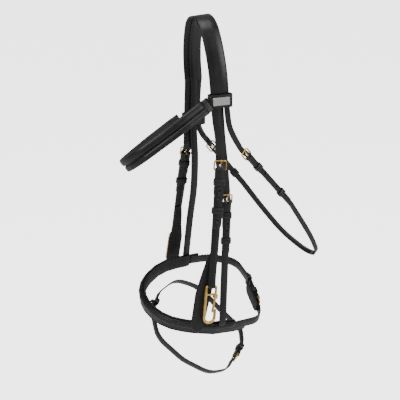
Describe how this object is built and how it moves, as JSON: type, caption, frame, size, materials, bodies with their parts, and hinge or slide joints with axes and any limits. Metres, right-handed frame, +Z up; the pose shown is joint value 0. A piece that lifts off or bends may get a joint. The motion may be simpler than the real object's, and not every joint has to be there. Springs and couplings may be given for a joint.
{
  "type": "snaffle bridle",
  "caption": "Black leather riding bridle with browband, buckled cheekpieces on brass snap hooks, padded noseband with flash strap, and throatlatch.",
  "frame": {"origin": "inner face of the crown at the top of the poll, on the bridle's middle line", "axes": "+Z up, the bridle hangs along -Z; +X to the horse's near (left) side; +Y to the back of the head, so the noseband's front is towards -Y"},
  "size_m": [0.2309, 0.3883, 0.6299],
  "materials": {
    "bridle_leather": "smooth waxed bridle leather, satin",
    "padded_leather": "soft smooth leather over padding, satin",
    "lining_leather": "soft lining leather, matt",
    "brass": "polished",
    "nickel": "polished nickel plate"
  },
  "bodies": {
    "bridle": {"far_cheek_buckle": "brass", "far_cheek_fixed_keeper": "bridle_leather", "far_cheekpiece": "bridle_leather", "far_guard_flap": "lining_leather", "far_throatlatch_buckle": "brass", "far_throatlatch_fixed_keeper": "bridle_leather", "flash_buckle": "brass", "flash_fixed_keeper": "bridle_leather", "flash_loop": "bridle_leather", "flash_strap": "bridle_leather", "headpiece": "bridle_leather", "jaw_billet_strap": "bridle_leather", "jaw_buckle": "brass", "jaw_buckle_strap": "bridle_leather", "jaw_fixed_keeper": "bridle_leather", "jaw_pad": "lining_leather", "near_cheek_buckle": "brass", "near_cheek_fixed_keeper": "bridle_leather", "near_cheekpiece": "bridle_leather", "near_guard_flap": "lining_leather", "near_noseband_buckle": "brass", "near_noseband_fixed_keeper": "bridle_leather", "near_noseband_strap": "bridle_leather", "near_throatlatch_buckle": "brass", "near_throatlatch_fixed_keeper": "bridle_leather", "noseband_core": "lining_leather", "noseband_lining": "lining_leather", "noseband_outer_strap": "bridle_leather", "noseband_raised_roll": "padded_leather", "sliphead": "bridle_leather", "throatlatch": "bridle_leather"},
    "near_cheek_tongue": {"near_cheek_tongue": "brass"},
    "far_cheek_tongue": {"far_cheek_tongue": "brass"},
    "near_noseband_tongue": {"near_noseband_tongue": "brass"},
    "near_throatlatch_tongue": {"near_throatlatch_tongue": "brass"},
    "far_throatlatch_tongue": {"far_throatlatch_tongue": "brass"},
    "jaw_tongue": {"jaw_tongue": "brass"},
    "flash_tongue": {"flash_tongue": "brass"},
    "near_cheek_sliding_keeper": {"near_cheek_sliding_keeper": "bridle_leather"},
    "far_cheek_sliding_keeper": {"far_cheek_sliding_keeper": "bridle_leather"},
    "near_noseband_sliding_keeper": {"near_noseband_sliding_keeper": "bridle_leather"},
    "near_throatlatch_sliding_keeper": {"near_throatlatch_sliding_keeper": "bridle_leather"},
    "far_throatlatch_sliding_keeper": {"far_throatlatch_sliding_keeper": "bridle_leather"},
    "jaw_sliding_keeper": {"jaw_sliding_keeper": "bridle_leather"},
    "near_hook": {"near_snap_hook": "brass", "near_gate_pin": "nickel"},
    "near_gate": {"near_hook_gate": "brass"},
    "far_hook": {"far_snap_hook": "brass", "far_gate_pin": "nickel"},
    "far_gate": {"far_hook_gate": "brass"},
    "browband": {"browband_strap": "bridle_leather", "browband_upper_roll": "padded_leather", "browband_lower_roll": "padded_leather", "browband_lining": "lining_leather", "nameplate": "nickel"}
  },
  "joints": [
    {"name": "near_cheek_tongue_lift", "type": "hinge", "parent": "bridle", "child": "near_cheek_tongue", "pos_m": [0.06223, 0.00801, -0.23779], "axis": [0, 0.9928, -0.1198], "range_deg": [0, 8]},
    {"name": "far_cheek_tongue_lift", "type": "hinge", "parent": "bridle", "child": "far_cheek_tongue", "pos_m": [-0.06435, -0.0029, -0.24535], "axis": [0, -0.9998, 0.0209], "range_deg": [0, 8]},
    {"name": "near_noseband_tongue_lift", "type": "hinge", "parent": "bridle", "child": "near_noseband_tongue", "pos_m": [0.05825, 0.02252, -0.29992], "axis": [0, 0.9979, -0.0652], "range_deg": [0, 8]},
    {"name": "near_throatlatch_tongue_lift", "type": "hinge", "parent": "bridle", "child": "near_throatlatch_tongue", "pos_m": [0.04905, 0.0659, -0.2261], "axis": [-0.2876, 0.6891, 0.6651], "range_deg": [0, 8]},
    {"name": "far_throatlatch_tongue_lift", "type": "hinge", "parent": "bridle", "child": "far_throatlatch_tongue", "pos_m": [-0.04353, 0.04322, -0.23574], "axis": [-0.0621, -0.7812, -0.6212], "range_deg": [0, 8]},
    {"name": "jaw_tongue_lift", "type": "hinge", "parent": "bridle", "child": "jaw_tongue", "pos_m": [0.02401, 0.09799, -0.50871], "axis": [0.3256, 0, 0.9455], "range_deg": [0, 8]},
    {"name": "flash_tongue_lift", "type": "hinge", "parent": "bridle", "child": "flash_tongue", "pos_m": [0.03054, 0.05537, -0.60753], "axis": [0.634, 0.304, 0.711], "range_deg": [0, 8]},
    {"name": "near_cheek_keeper_slide", "type": "slide", "parent": "bridle", "child": "near_cheek_sliding_keeper", "axis": [-0.115, 0.119, 0.9862], "range_m": [-0.012, 0.014]},
    {"name": "far_cheek_keeper_slide", "type": "slide", "parent": "bridle", "child": "far_cheek_sliding_keeper", "axis": [0.29, 0.02, 0.9568], "range_m": [-0.012, 0.006]},
    {"name": "near_noseband_keeper_slide", "type": "slide", "parent": "bridle", "child": "near_noseband_sliding_keeper", "axis": [-0.083, 0.065, 0.9944], "range_m": [-0.01, 0.01]},
    {"name": "near_throatlatch_keeper_slide", "type": "slide", "parent": "bridle", "child": "near_throatlatch_sliding_keeper", "axis": [0.13, -0.66, 0.74], "range_m": [-0.016, 0.016]},
    {"name": "far_throatlatch_keeper_slide", "type": "slide", "parent": "bridle", "child": "far_throatlatch_sliding_keeper", "axis": [-0.0981, -0.6146, 0.7827], "range_m": [-0.008, 0.008]},
    {"name": "jaw_keeper_slide", "type": "slide", "parent": "bridle", "child": "jaw_sliding_keeper", "axis": [0.9408, -0.0995, -0.324], "range_m": [-0.003, 0.001]},
    {"name": "near_hook_swing", "type": "hinge", "parent": "bridle", "child": "near_hook", "pos_m": [0.08512, -0.01567, -0.43405], "axis": [0, -0.9928, 0.1198], "range_deg": [0, 70]},
    {"name": "near_gate_open", "type": "hinge", "parent": "near_hook", "child": "near_gate", "pos_m": [0.08724, -0.00953, -0.4533], "axis": [-0.9934, -0.0138, -0.1142], "range_deg": [0, 20], "stiffness_Nm_per_rad": 0.02, "springref_deg": -11.46},
    {"name": "far_hook_swing", "type": "hinge", "parent": "bridle", "child": "far_hook", "pos_m": [-0.11509, -0.0064, -0.4128], "axis": [0, 0.9998, -0.0209], "range_deg": [0, 70]},
    {"name": "far_gate_open", "type": "hinge", "parent": "far_hook", "child": "far_gate", "pos_m": [-0.12045, 0.00163, -0.43068], "axis": [-0.957, 0.0061, 0.2899], "range_deg": [0, 20], "stiffness_Nm_per_rad": 0.02, "springref_deg": -11.46},
    {"name": "browband_slide", "type": "slide", "parent": "bridle", "child": "browband", "axis": [0, 0, 1], "range_m": [-0.003, 0.003]}
  ]
}
